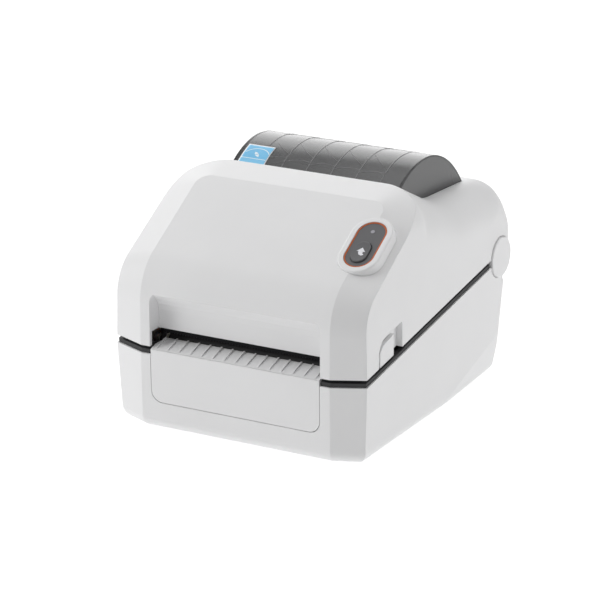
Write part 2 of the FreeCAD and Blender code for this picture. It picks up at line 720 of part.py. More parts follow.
# ---------------------------------------------------------------- top cover
def top_cover():
    rim = above_seam(COVER_LOW_Z)
    outer = cover_form(0).common(rim)
    inner = cover_form(WALL)
    shell = outer.cut(inner)
    grip = both_sides(prism_x(grip_outline(2.4), GRIP_FLOOR_X - 2.4, HALF_W + 1))
    backing = box(-OUTLET_HALF - 3, OUTLET_HALF + 3, 0, RECESS_Y + WALL, SLOT_TOP_Z, RECESS_TOP_Z + 3)
    extra = join([backing] + grip).common(outer)
    shell = shell.fuse([extra] + rear_bridge(outer)).removeSplitter()
    cuts = [recess_form(), arch(WINDOW_HALF + 0.3, 0.3, 110.0, WINDOW_FRONT_Y - 0.3), bezel_block(0.0)]
    cuts += both_sides(prism_x(grip_outline(0), GRIP_FLOOR_X, HALF_W + 5))
    cuts += both_sides(box(80, GRIP_FLOOR_X + 1, 34.0, 47.0, cover_rim(40) + 1.5, cover_rim(40) + 11.0))
    cuts += both_sides(rod_x(CAP_IN_X - 0.4, HALF_W + 5, HINGE_Y, HINGE_Z, CAP_SEAT_R))
    cuts += [box(-HALF_W - 5, HALF_W + 5, HINGE_Y + 14.2, DEPTH + 5, 0, COVER_REAR_LOW_Z)]
    cuts += both_sides(box(LUG_X0 - 0.6, LUG_X1 + 0.6, HINGE_Y - 30, HINGE_Y + 14.3, 60, 99.0))
    cuts += [rod_x(-86, 86, HINGE_Y, HINGE_Z, PIN_R + RUN_GAP)]
    return shell.cut(cuts)


def rear_bridge(outer):
    """Hinge barrel, its pin webs and the bridge up to the rear wall."""
    barrel = rod_x(-88.2, 88.2, HINGE_Y, HINGE_Z, BARREL_R)
    barrel = barrel.cut(rod_x(-84.2, 84.2, HINGE_Y, HINGE_Z, BARREL_R - WALL))
    bridge = prism_x([(DEPTH + 1, COVER_REAR_LOW_Z), (DEPTH + 1, COVER_REAR_LOW_Z + 3.3),
                      (211, 104.0), (205, 101.0), (207.0, 98.2), (213.4, 93.0),
                      (213.6, COVER_REAR_LOW_Z)], -88, 88)
    bridge = bridge.common(outer)
    webs = []
    for x in WEB_X:
        web = prism_x([(188.5, 92.0), (213.0, 92.0), (217.5, 124.0), (206.0, 126.0)], x, x + WEB_T)
        disc = rod_x(x, x + WEB_T, HINGE_Y, HINGE_Z, BARREL_R - 0.5)
        webs += both_sides(join([web.common(outer), disc]))
    return [barrel, bridge] + webs


def recess_form():
    """Scoop in the hood over the label outlet, with a soft top edge."""
    front = rounded_box_y(OUTLET_HALF, -5.0, 20.0, 30.0, RECESS_TOP_Z, RECESS_CORNER_R)
    side = prism_x([(-6, 40), (22.0, 40), (22.0, SLOT_TOP_Z), (RECESS_Y, SLOT_TOP_Z), (RECESS_Y, 82.0),
                    (11.2, 86.0), (8.8, 89.6), (5.6, 92.4), (2.6, 94.2), (-1.0, 95.8), (-6.0, 97.6)],
                   -HALF_W, HALF_W)
    return front.common(side)


def window():
    """Smoked half-barrel window, open below."""
    outer = arch(WINDOW_HALF, 0, WINDOW_LOW_Z, WINDOW_FRONT_Y)
    inner = arch(WINDOW_HALF - WINDOW_T, -WINDOW_T, WINDOW_LOW_Z - 5, WINDOW_FRONT_Y - 5)
    return outer.cut(inner)


def window_frame():
    """Dark ledge ring that carries the window's foot inside the cover."""
    skin = cover_form(WALL + 0.05)
    x1 = WINDOW_HALF + 0.3
    ring = box(-x1 - 5, x1 + 5, WINDOW_FRONT_Y - 5, 204, WINDOW_LOW_Z - 3.0, WINDOW_LOW_Z)
    ring = ring.cut(box(-x1 + 6, x1 - 6, WINDOW_FRONT_Y + 4, 194, 100, 160))
    curb = box(-x1 - 2.4, x1 + 2.4, WINDOW_FRONT_Y - 3, 204, WINDOW_LOW_Z, 139.0)
    curb = curb.cut(box(-x1, x1, 90, 230, 100, 160))
    return join([ring, curb]).common(skin)


def hinge_cap():
    disc = rod_x(88.25, CAP_OUT_X, HINGE_Y, HINGE_Z, CAP_R)
    rim = [e for e in disc.Edges if e.CenterOfMass.x > CAP_OUT_X - 0.1]
    return disc.makeFillet(0.8, rim)


# ---------------------------------------------------------------- control unit
def button_bezel():
    bore = on_slope(pill(CONTROL_U, CONTROL_V, CONTROL_RUN, RING_R + 0.15, BEZEL_LOW_W - 1, 5.0))
    return bezel_block(-0.05).cut(bore)


def accent_ring():
    outer = pill(CONTROL_U, CONTROL_V, CONTROL_RUN, RING_R, -4.0, 0.9)
    return on_slope(outer.cut(pill(CONTROL_U, CONTROL_V, CONTROL_RUN, FACE_R, -5.0, 2.0)))


def control_face():
    face = pill(CONTROL_U, CONTROL_V, CONTROL_RUN, FACE_R - 0.05, -4.0, 0.7)
    hole = pill(CONTROL_U, BUTTON_V, BUTTON_RUN, BUTTON_R + 0.3, -6.0, 3.0)
    lamp = rod_z(CONTROL_U, LED_V, -6.0, 3.0, LED_R + 0.05)
    return on_slope(face.cut([hole, lamp]))


def feed_button():
    cap = pill(CONTROL_U, BUTTON_V, BUTTON_RUN, BUTTON_R, -3.5, BUTTON_TOP_W)
    top = [e for e in cap.Edges if e.CenterOfMass.z > BUTTON_TOP_W - 0.1]
    cap = cap.makeFillet(0.8, top)
    dish = Part.makeSphere(DISH_R, V(CONTROL_U, BUTTON_V, BUTTON_TOP_W + DISH_R - DISH_DEPTH))
    stem = rod_z(CONTROL_U, BUTTON_V, -6.4, -3.5, 2.0)
    return on_slope(join([cap.cut(dish), stem]))


def status_led():
    return on_slope(rod_z(CONTROL_U, LED_V, BOARD_W + 1.6, 0.8, LED_R))


def button_board():
    board = box(60.0, 78.5, -20.0, 10.0, BOARD_W, BOARD_W + 1.6)
    tact = box(CONTROL_U - 3, CONTROL_U + 3, BUTTON_V - 3, BUTTON_V + 3, BOARD_W + 1.6, BOARD_W + 2.8)
    return on_slope(join([board, tact]))


# ---------------------------------------------------------------- latch
def latch_shaft():
    return rod_x(-84.6, 84.6, LATCH_Y, LATCH_Z, LATCH_R)


def latch_hook():
    plate = prism_x([(46.0, 101.0), (54.0, 101.0), (54.5, 92.0), (50.5, 80.0), (49.2, 58.0),
                     (49.2, 50.5), (43.0, 50.5), (43.0, 60.0), (44.0, 84.0)], 66.0, 69.0)
    return plate.cut(rod_x(65, 70, LATCH_Y, LATCH_Z, LATCH_R))


def release_lever():
    """Finger tab in the grip pocket, with its arm up to the latch shaft."""
    y0, y1 = GRIP_Y0 + 4.6, GRIP_Y1 - 9.0
    z0, z1 = cover_rim(y0), cover_rim(y1)
    tab = prism_x([(y0, z0 - 1.8), (y0, z0 + 8.0), (y0 + 4.0, z0 + 12.0), (y1, z1 + 12.5),
                   (y1, z1 - 1.8)], GRIP_FLOOR_X + 0.4, 90.4)
    zc = cover_rim(40)
    neck = box(84.4, GRIP_FLOOR_X + 0.5, 38.5, 42.5, zc + 3.5, zc + 8.5)
    arm = prism_x([(38.5, zc + 3.5), (42.5, zc + 3.5), (54.0, LATCH_Z - 3), (54.0, LATCH_Z + 4.0),
                   (46.0, LATCH_Z + 4.0)], 82.0, 84.5)
    return join([tab, neck, arm]).cut(rod_x(80, 86, LATCH_Y, LATCH_Z, LATCH_R))


# ---------------------------------------------------------------- print mechanism on the cover
def head_frame():
    """Two cheeks and a cross plate that carry the print head and the latch shaft."""
    skin = cover_form(WALL + 0.05)
    cheek = prism_x([(20.0, 78.0), (20.0, 130.0), (95.0, 175.0), (98.0, 112.0), (60.0, 90.0),
                     (56.0, 70.5), (40.0, 70.5), (36.0, 78.0)], 61.0, 64.0)
    plate = prism_x([(24.0, 95.0), (24.0, 98.0), (90.0, 132.0), (90.0, 129.0)], -61.0, 61.0)
    body = join([plate] + both_sides(cheek)).common(skin)
    bores = [rod_x(-70, 70, LATCH_Y, LATCH_Z, LATCH_R + RUN_GAP),
             rod_x(-70, 70, HEAD_PIVOT_Y, HEAD_PIVOT_Z, HEAD_PIN_R)]
    control_room = on_slope(box(CONTROL_U - 20.0, CONTROL_U + 20.0, -34.0, 22.0, BOARD_W - 2.6, 10.0))
    return body.cut(bores + [control_room])


def head_pin():
    return rod_x(-64.0, 64.0, HEAD_PIVOT_Y, HEAD_PIVOT_Z, HEAD_PIN_R)


def heat_sink():
    body = box(-57.0, 57.0, 19.0, 42.2, 68.4, 76.0)
    slots = [box(-60, 60, 21.5 + 3.6 * i, 23.5 + 3.6 * i, 71.0, 80.0) for i in range(6)]
    ear = join([box(57.0, 60.4, 40.0, 48.5, 68.4, 76.0),
                rod_x(57.0, 60.4, HEAD_PIVOT_Y, HEAD_PIVOT_Z, 4.0)])
    ear = ear.cut(rod_x(50, 62, HEAD_PIVOT_Y, HEAD_PIVOT_Z, HEAD_PIN_R + RUN_GAP))
    link = box(54.0, 57.0, 40.0, 43.0, 68.4, 76.0)
    return join([body.cut(slots), link] + both_sides(ear))


def print_head():
    body = box(-57.0, 57.0, 17.6, 40.0, 66.1, 68.35)
    bead = rod_x(-54.0, 54.0, PLATEN_Y, 66.3, 0.5)
    plug = box(-12.0, 12.0, 34.0, 39.5, 63.6, 66.1)
    return join([body, bead, plug])


def head_springs():
    """Coil springs on the head pin, one inside each cheek, drawn as touching turns."""
    springs = []
    for x0 in SPRING_X:
        length = SPRING_PITCH * (SPRING_TURNS - 1)
        solids = [rod_x(x0, x0 + length, HEAD_PIVOT_Y + SPRING_R, HEAD_PIVOT_Z, 0.35)]
        for i in range(SPRING_TURNS):
            centre = V(x0 + SPRING_PITCH * i, HEAD_PIVOT_Y, HEAD_PIVOT_Z)
            solids.append(Part.makeTorus(SPRING_R, SPRING_WIRE_R, centre, V(1, 0, 0)))
        springs.append(join(solids))
    return Part.makeCompound(springs)


def tear_bar():
    """Serrated strip behind the hood recess."""
    half = OUTLET_HALF - 0.8
    body = box(-half, half, RECESS_Y + 1.2, RECESS_Y + 2.4, SLOT_TOP_Z - 2.6, SLOT_TOP_Z - 0.05)
    count = 60
    pitch = 2 * half / count
    pts = [(-half, SLOT_TOP_Z - 2.6)]
    for i in range(count):
        x = -half + pitch * i
        pts += [(x + pitch / 2, SLOT_TOP_Z - 3.5), (x + pitch, SLOT_TOP_Z - 2.6)]
    pts += [(half, SLOT_TOP_Z - 2.0), (-half, SLOT_TOP_Z - 2.0)]
    return join([body, prism_y(pts, RECESS_Y + 1.2, RECESS_Y + 2.4)])


# ---------------------------------------------------------------- chassis and media bay
def chassis():
    """Inner frame: side plates for the platen, the deck and the media trough."""
    side = prism_x([(14.5, 50.0), (14.5, 61.0), (18.0, 65.0), (26.0, 65.0), (34.0, 63.0), (72.0, 64.0),
                    (72.0, 6.0), (30.0, 6.0), (30.0, 40.0)], SIDE_IN, SIDE_OUT)
    idler, pinion = gear_centres()
    side = side.cut(rod_x(59, 65, PLATEN_Y, PLATEN_Z, 5.0))
    right = side
    left = mirrored(side).cut([rod_x(-65, -59, idler[0], idler[1], 2.0),
                               rod_x(-65, -59, pinion[0], pinion[1], 6.5)])
    catches = both_sides(rod_x(SIDE_OUT, 70.0, 52.0, 57.0, 2.5))
    deck = box(-84.0, 84.0, 70.0, 183.0, 40, 120).common(above_seam(CASE_TOP_Z - 8.0))
    deck = deck.cut(above_seam(CASE_TOP_Z - 5.5))
    trough = rod_x(-BAY_HALF - BAY_T, BAY_HALF + BAY_T, ROLL_Y, ROLL_Z, BAY_R + BAY_T)
    hollow = rod_x(-BAY_HALF, BAY_HALF, ROLL_Y, ROLL_Z, BAY_R)
    trough = trough.cut(above_seam(CASE_TOP_Z - 5.5))
    ramp = prism_x([(33.0, 58.4), (33.0, 60.4), (66.0, 63.0), (74.0, 63.4), (74.0, 60.8)],
                   -SIDE_IN, SIDE_IN)
    tie = box(-SIDE_IN, SIDE_IN, 69.6, 72.0, 6.0, 62.0)
    legs = [box(x - 3, x + 3, y - 3, y + 3, CASE_LOW_Z + WALL, case_rim(y) - 6.5)
            for x in (-72.0, 72.0) for y in (76.0, 166.0)]
    body = join([right, left, deck, trough, ramp, tie] + catches + legs).cut(hollow)
    slots = both_sides(box(10.0, 60.0, ROLL_Y - 4.0, ROLL_Y + 4.0, 30.0, 60.0))
    slots += [box(-53.0, 53.0, 49.0, 57.0, 50.0, 80.0)]
    slots += both_sides(box(LUG_X0 - 1, 90, HINGE_Y - 17.6, 200, 0, 120))
    slots += [rod_x(-90, 90, HINGE_Y, HINGE_Z, 17.3)]
    return body.cut(slots)


def media_guide():
    """Sliding roll holder for the right side, with its foot and toothed rack."""
    x0, x1 = GUIDE_X, GUIDE_X + GUIDE_T
    plate = prism_x([(ROLL_Y - 3.2, 42.0), (ROLL_Y - 3.2, 50.0), (ROLL_Y - 20.0, 62.0),
                     (ROLL_Y - 26.0, 84.0), (ROLL_Y - 22.0, 106.0), (ROLL_Y - 10.0, 118.0),
                     (ROLL_Y + 10.0, 118.0), (ROLL_Y + 22.0, 106.0), (ROLL_Y + 26.0, 84.0),
                     (ROLL_Y + 20.0, 62.0), (ROLL_Y + 3.2, 50.0), (ROLL_Y + 3.2, 42.0)], x0, x1)
    pin = rod_x(x0 - HUB_T - 1.0, x0, ROLL_Y, ROLL_Z, 4.0)
    stem = box(x0, x1, ROLL_Y - 3.2, ROLL_Y + 3.2, RACK_Z0, 46.0)
    pitch_y = ROLL_Y + MODULE * RACK_PINION_TEETH / 2
    foot = box(x0, x1, ROLL_Y - 3.2, pitch_y + 5.0, RACK_Z0, 37.0)
    return join([plate, pin, stem, foot, rack(pitch_y, -8.0, x1)])


def rack(pitch_y, x0, x1):
    """Toothed bar facing the pinion, with a tooth gap centred at x = 0."""
    pitch = math.pi * MODULE
    add_h, root_h = 0.9 * MODULE, 1.2 * MODULE
    lean = math.tan(PRESSURE_ANGLE)
    half = pitch / 4 - BACKLASH / 2
    bar = box(x0, x1, pitch_y + root_h, pitch_y + 5.0, RACK_Z0, RACK_Z1)
    teeth = []
    first = math.ceil((x0 + 1) / pitch - 0.5)
    count = int((46.0 - x0) / pitch)
    root_y = pitch_y + root_h + 0.1
    for i in range(first, first + count):
        c = (i + 0.5) * pitch
        pts = [(c - half - root_h * lean, root_y), (c - half + add_h * lean, pitch_y - add_h),
               (c + half - add_h * lean, pitch_y - add_h), (c + half + root_h * lean, root_y)]
        teeth.append(prism_z(pts, RACK_Z0, RACK_Z1))
    return join([bar] + teeth)


def turned_half(solid):
    """Half turn about the vertical axis of the rack pinion."""
    copy = solid.copy()
    copy.rotate(V(0, ROLL_Y, 0), V(0, 0, 1), 180)
    return copy


def rack_pinion():
    wheel = gear(RACK_PINION_TEETH, RACK_Z0, RACK_Z1, 0, 0, 0.0, 2.0 + RUN_GAP)
    wheel.rotate(V(0, 0, 0), V(0, 1, 0), -90)
    wheel.translate(V(0, ROLL_Y, 0))
    box_z = wheel.BoundBox.ZMin
    wheel.translate(V(0, 0, RACK_Z0 - box_z))
    return wheel


def pinion_post():
    post = rod_z(0, ROLL_Y, RACK_Z0 - 2.0, 38.45, 2.0)
    head = rod_z(0, ROLL_Y, RACK_Z0 - 3.0, RACK_Z0 - 0.4, 3.6)
    return join([post, head])


def roll_hub():
    """Free-turning hub that carries the core of the media roll."""
    x1 = GUIDE_X - 0.4
    x0 = x1 - HUB_T
    hub = join([rod_x(x1 - 2.0, x1, ROLL_Y, ROLL_Z, HUB_R), rod_x(x0, x1, ROLL_Y, ROLL_Z, 12.4)])
    windows = []
    for k in range(6):
        a = math.pi / 3 * k
        y, z = ROLL_Y + 8.3 * math.cos(a), ROLL_Z + 8.3 * math.sin(a)
        windows.append(rod_x(x0 - 1, x1 + 1, y, z, 2.4))
    return hub.cut(windows + [rod_x(x0 - 1, x1 + 1, ROLL_Y, ROLL_Z, 4.0 + RUN_GAP)])


def sensor_rail():
    ends = both_sides(box(56.0, SIDE_IN, 50.0, 56.0, 54.0, 58.4))
    return join([box(-56.0, 56.0, 51.0, 55.0, 55.4, 57.4)] + ends)


def media_sensor():
    """Gap sensor carriage that slides along its rail under the media ramp."""
    body = box(-8.0, 8.0, 49.6, 56.4, 57.6, 61.9)
    clip = box(-6.0, 6.0, 49.6, 50.8, 53.6, 57.7)
    hook = box(-6.0, 6.0, 49.6, 54.0, 53.6, 55.2)
    eye = rod_z(0, 53.0, 61.8, 62.4, 1.4)
    return join([body, clip, hook, eye])


# ---------------------------------------------------------------- platen and drive
def platen_shaft():
    return rod_x(GEAR_X0, 66.0, PLATEN_Y, PLATEN_Z, SHAFT_R)


def platen_roller():
    sleeve = rod_x(-PLATEN_HALF, PLATEN_HALF, PLATEN_Y, PLATEN_Z, PLATEN_R)
    return sleeve.cut(rod_x(-60, 60, PLATEN_Y, PLATEN_Z, SHAFT_R))


def platen_bushings():
    sleeve = join([rod_x(58.4, SIDE_IN, PLATEN_Y, PLATEN_Z, 6.4),
                   rod_x(SIDE_IN, 64.4, PLATEN_Y, PLATEN_Z, 5.0)])
    sleeve = sleeve.cut(rod_x(57, 66, PLATEN_Y, PLATEN_Z, SHAFT_R + RUN_GAP))
    return Part.makeCompound(both_sides(sleeve))


def drive_gears():
    idler, pinion = gear_centres()
    step_i = 2 * math.pi / IDLER_TEETH
    step_m = 2 * math.pi / PINION_TEETH
    idler_phase = IDLER_ANGLE + math.pi + step_i / 2
    offset = (PINION_ANGLE - idler_phase) % step_i
    pinion_phase = PINION_ANGLE + math.pi + step_m / 2 + offset * IDLER_TEETH / PINION_TEETH
    platen = gear(PLATEN_TEETH, GEAR_X0, GEAR_X1, PLATEN_Y, PLATEN_Z, IDLER_ANGLE, SHAFT_R)
    idle = gear(IDLER_TEETH, GEAR_X0, GEAR_X1, idler[0], idler[1], idler_phase, 2.0 + RUN_GAP)
    drive = gear(PINION_TEETH, GEAR_X0, GEAR_X1, pinion[0], pinion[1], pinion_phase, 1.5)
    return platen, idle, drive


def idler_pin():
    (y, z), _ = gear_centres()
    pin = rod_x(GEAR_X0 - 1.6, -SIDE_IN, y, z, 2.0)
    head = rod_x(GEAR_X0 - 2.4, GEAR_X0 - 0.6, y, z, 3.4)
    collar = rod_x(GEAR_X1 + 0.5, -SIDE_OUT, y, z, 3.4)
    return join([pin, head, collar])


def motor_shaft():
    _, (y, z) = gear_centres()
    return rod_x(GEAR_X0, -58.2, y, z, 1.5)


def stepper_motor():
    _, (y, z) = gear_centres()
    can = join([box(-56.6, -30.0, y - 12.5, y + 12.5, z - 17.0, z + 17.0),
                box(-SIDE_IN, -56.6, y - 15.0, y + 12.5, z - 17.5, z + 17.5)])
    boss = rod_x(-62.0, -SIDE_IN, y, z, 6.2)
    return join([can, boss]).cut(rod_x(-63, -58.0, y, z, 1.5 + RUN_GAP))


# ---------------------------------------------------------------- electronics and rear panel
def main_board():
    board = box(-68.0, 68.0, 84.0, 186.0, 12.0, 13.6)
    parts = [box(-20, -6, 100, 114, 13.6, 15.4), box(10, 30, 120, 140, 13.6, 15.6),
             box(40, 60, 98, 106, 13.6, 20.0), box(-60, -46, 110, 150, 13.6, 18.0),
             box(36, 64, 150, 158, 13.6, 19.0)]
    parts += [rod_z(x, 170.0, 13.6, 24.0, 5.0) for x in (-60.0, -46.0)]
    posts = [rod_z(x, y, CASE_LOW_Z + WALL, 12.0, 3.0) for x in (-62.0, 62.0) for y in (92.0, 178.0)]
    return join([board] + parts), Part.makeCompound(posts)


def port_openings():
    """Name, centre x, half width, low z and high z of each rear opening."""
    return [("power_switch", -42.0, 7.0, 20.0, 38.0), ("dc_inlet", -20.0, 6.5, 21.0, 34.0),
            ("usb_port", 1.0, 6.5, 20.0, 32.0), ("ethernet_port", 20.0, 8.5, 19.0, 34.0),
            ("serial_port", 43.0, 11.0, 19.5, 32.5)]


def rear_y(z):
    """Outer rear face of the lower case at a height, on the centre plane."""
    return CASE_REAR_Y - REAR_DRAFT * (case_rim(CASE_REAR_Y) - z)


def io_plate():
    plate = case_form(0.5).cut(case_form(3.4)).common(box(-56.8, 56.8, 190, DEPTH, 14.2, 43.8))
    holes = [box(x - w, x + w, 190, DEPTH + 5, z0, z1) for _, x, w, z0, z1 in port_openings()]
    return plate.cut(holes)


def d_outline(x, zc, inset, y0, y1):
    """D-shaped block of the serial connector."""
    return prism_y([(x - 9.5 + inset, zc + 4.4 - inset), (x + 9.5 - inset, zc + 4.4 - inset),
                    (x + 7.8 - inset, zc - 4.4 + inset), (x - 7.8 + inset, zc - 4.4 + inset)], y0, y1)


def sockets():
    """Power inlet and data sockets, each with a recessed mouth."""
    table = {name: (x, w, z0, z1) for name, x, w, z0, z1 in port_openings()}
    out = {}
    for name, depth in SOCKET_DEPTHS.items():
        x, w, z0, z1 = table[name]
        y1 = rear_y((z0 + z1) / 2) - 1.2
        body = box(x - w + 0.2, x + w - 0.2, y1 - depth, y1, z0 + 0.2, z1 - 0.2)
        zc = (z0 + z1) / 2
        if name == "dc_inlet":
            body = body.cut(rod_y(x, y1 - depth + 3.0, y1 + 1, zc, 5.0))
            body = body.fuse(rod_y(x, y1 - depth + 2.0, y1 - SOCKET_MOUTH, zc, 1.0))
        elif name == "serial_port":
            body = body.cut(d_outline(x, zc, 0.0, y1 - 5.0, y1 + 1))
            body = body.fuse(d_outline(x, zc, 0.9, y1 - 6.0, y1 - 0.6))
        else:
            back = y1 - depth
            body = body.cut(box(x - w + 1.2, x + w - 1.2, back + 3.0, y1 + 1, z0 + 1.2, z1 - 1.2))
            tongue = box(x - w + 3.0, x + w - 3.0, back + 2.0, y1 - SOCKET_MOUTH, zc - 1.4, zc + 1.0)
            body = body.fuse(tongue)
        out[name] = body.removeSplitter()
    return out


def switch_parts():
    """Rocker and its housing."""
    _, x, w, z0, z1 = port_openings()[0]
    zc = (z0 + z1) / 2
    y1 = rear_y(zc)
    frame = box(x - w + 0.2, x + w - 0.2, y1 - 17.0, y1 - 0.4, z0 + 0.2, z1 - 0.2)
    frame = frame.cut(box(x - w + 1.6, x + w - 1.6, y1 - 15.0, y1 + 2, z0 + 1.4, z1 - 1.4))
    pivot_y = y1 - 6.5
    pin = rod_x(x - w + 0.2, x + w - 0.2, pivot_y, zc, 1.0)
    frame = frame.cut(rod_x(x - w - 1, x + w + 1, pivot_y, zc, 1.0 + RUN_GAP))
    half = (z1 - z0) / 2 - 2.4
    rocker = prism_x([(pivot_y - 2.5, zc - 1.8), (pivot_y + 3.2, zc - half), (pivot_y + 6.0, zc - half),
                      (pivot_y + 5.0, zc), (pivot_y + 7.6, zc + half), (pivot_y + 4.6, zc + half),
                      (pivot_y - 2.5, zc + 1.8)], x - w + 2.0, x + w - 2.0)
    return join([rocker, pin]), frame


# ---------------------------------------------------------------- small fixings
def hinge_pins():
    pin = rod_x(71.0, 84.6, HINGE_Y, HINGE_Z, PIN_R)
    return Part.makeCompound(both_sides(pin))


def feet():
    pads = [rod_z(x, y, 0.0, CASE_LOW_Z + 0.8, FOOT_R) for x in (-FOOT_X, FOOT_X) for y in FOOT_Y]
    rounded = []
    for pad in pads:
        low = [e for e in pad.Edges if e.CenterOfMass.z < 0.1]
        rounded.append(pad.makeFillet(0.6, low))
    return Part.makeCompound(rounded)


def panel_screws():
    """Pan-head screws that hold the rear plate."""
    screws = []
    y1 = rear_y(SCREW_Z) - 0.2
    for x in SCREW_X:
        head = rod_y(x, y1, y1 + 1.4, SCREW_Z, 2.6)
        cross = [box(x - w, x + w, y1 + 0.7, y1 + 3, SCREW_Z - h, SCREW_Z + h)
                 for w, h in ((1.6, 0.3), (0.3, 1.6))]
        screws.append(head.cut(cross))
    return Part.makeCompound(screws)


def build_parts():
    add("lower_case", lower_case())
    add("front_panel", front_panel())
    add("label_lip", label_lip())
    add("gasket", gasket())
    add("feet", feet())
    add("chassis", chassis())
    board, posts = main_board()
    add("main_board", board)
    add("board_posts", posts)
    add("io_plate", io_plate())
    for name, solid in sockets().items():
        add(name, solid)
    rocker, frame = switch_parts()
    add("power_rocker", rocker)
    add("switch_housing", frame)
    add("panel_screws", panel_screws())
    add("hinge_pins", hinge_pins())
    platen_gear, idler, pinion = drive_gears()
    add("platen_shaft", platen_shaft())
    add("platen_roller", platen_roller())
    add("platen_bushings", platen_bushings())
    add("platen_gear", platen_gear)
    add("idler_gear", idler)
    add("idler_pin", idler_pin())
    add("motor_pinion", pinion)
    add("motor_shaft", motor_shaft())
    add("stepper_motor", stepper_motor())
    guide = media_guide()
    hub = roll_hub()
    add("media_guide_right", guide)
    add("media_guide_left", turned_half(guide))
    add("roll_hub_right", hub)
    add("roll_hub_left", mirrored(hub))
    add("rack_pinion", rack_pinion())
    add("pinion_post", pinion_post())
    add("sensor_rail", sensor_rail())
    add("media_sensor", media_sensor())
    add("top_cover", top_cover())
    add("window", window())
    add("window_frame", window_frame())
    add("hinge_cap_right", hinge_cap())
    add("hinge_cap_left", mirrored(hinge_cap()))
    add("button_bezel", button_bezel())
    add("accent_ring", accent_ring())
    add("control_face", control_face())
    add("feed_button", feed_button())
    add("status_led", status_led())
    add("button_board", button_board())
    add("head_frame", head_frame())
    add("head_pin", head_pin())
    add("heat_sink", heat_sink())
    add("print_head", print_head())
    add("head_springs", head_springs())
    add("tear_bar", tear_bar())
    add("latch_shaft", latch_shaft())
    add("latch_hook_right", latch_hook())
    add("latch_hook_left", mirrored(latch_hook()))
    add("release_lever_right", release_lever())
    add("release_lever_left", mirrored(release_lever()))


def export_parts():
    os.makedirs("parts", exist_ok=True)
    for name, shape in PARTS.items():
        moved = shape.copy()
        moved.translate(V(0, -DEPTH / 2, 0))
        moved.exportStep("parts/" + name + ".step")
        print(name, len(moved.Solids), moved.isValid(), round(moved.Volume))


build_parts()
export_parts()
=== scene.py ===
import json
import math

import bmesh
import bpy
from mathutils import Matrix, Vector


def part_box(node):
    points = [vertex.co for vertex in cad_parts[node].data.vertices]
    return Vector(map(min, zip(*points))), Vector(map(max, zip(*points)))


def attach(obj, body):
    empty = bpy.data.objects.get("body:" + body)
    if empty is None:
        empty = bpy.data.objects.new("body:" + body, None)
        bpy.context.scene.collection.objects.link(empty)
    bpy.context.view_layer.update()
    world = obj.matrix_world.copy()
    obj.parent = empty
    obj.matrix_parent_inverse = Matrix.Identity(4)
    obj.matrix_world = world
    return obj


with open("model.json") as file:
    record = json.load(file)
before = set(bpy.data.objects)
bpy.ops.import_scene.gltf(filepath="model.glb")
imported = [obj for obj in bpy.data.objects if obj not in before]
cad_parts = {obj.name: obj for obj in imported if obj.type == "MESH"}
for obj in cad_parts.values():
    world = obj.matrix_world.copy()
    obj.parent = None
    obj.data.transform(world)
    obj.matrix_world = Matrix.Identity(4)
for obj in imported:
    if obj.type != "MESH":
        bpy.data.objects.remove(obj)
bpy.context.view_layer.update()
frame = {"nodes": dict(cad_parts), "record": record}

MM = 0.001

# ---- camera: direction, lens, distance and the point that it looks at ----
CAMERA_AZIMUTH = math.radians(28.995)
CAMERA_ELEVATION = math.radians(18.551)
CAMERA_LENS = 187.44
SENSOR_WIDTH = 36.0
CLIP_NEAR = 0.05
CLIP_FAR = 50.0
CAMERA_DISTANCE = 2.0571
CAMERA_TARGET = Vector((-0.00115, -0.01972, 0.07516))

# ---- lights: name, place, size across and power, all aimed at the object ----
LIGHTS = (
    ("overhead", (0.0, 0.0, 1.8), 1.8, 17.6),
    ("left_front", (-1.6, -1.0, 0.9), 1.4, 22.6),
    ("left_rear", (-1.3, 1.4, 0.9), 1.8, 23.5),
    ("right_rear", (1.7, 0.9, 0.8), 1.4, 14.4),
)
LIGHT_AIM = Vector((0.0, 0.0, 0.09))
WHITE = (1.0, 1.0, 1.0, 1.0)
WORLD_STRENGTH = 0.06
FLOOR_REACH = 4.0
FLOOR_TONES = (0.34, 0.36)
FLOOR_GLOW = 0.76

# ---- sloping hood panel: origin, direction up the slope and outward normal ----
SLOPE_ANGLE = math.atan(0.6)     # rise over run of the panel
SLOPE_ORIGIN = Vector((0.0, -0.05865, 0.1388))
SLOPE_UP = Vector((0.0, math.cos(SLOPE_ANGLE), math.sin(SLOPE_ANGLE)))
SLOPE_NORMAL = Vector((0.0, -math.sin(SLOPE_ANGLE), math.cos(SLOPE_ANGLE)))

# ---- window section: radii of the ellipse that it is an arc of ----
ARCH_RY = 76.8 * MM
ARCH_RZ = 102.4 * MM

# ---- feed button: middle of the dish on the slope, its radius, its height and the arrow's size ----
ICON_U = 70.5 * MM
ICON_V = -12.5 * MM
DISH_RADIUS = 60.0 * MM
DISH_FLOOR = 1.5 * MM
ICON_SCALE = 1.3 * MM
ICON_HALF = 0.05 * MM
ICON_CUTS = 3


# ---------------------------------------------------------------- finish of metals
MARKS_ACROSS = 4000.0            # tool marks per metre, across and along them
MARKS_ALONG = 60.0
MARKS_DEPTH = 0.003 * MM
METAL_EDGE = 0.15 * MM

# ---------------------------------------------------------------- node helpers
NOISE_LOW, NOISE_HIGH = 0.3, 0.7     # range that most of a noise texture lies in
BEVEL_SAMPLES = 4


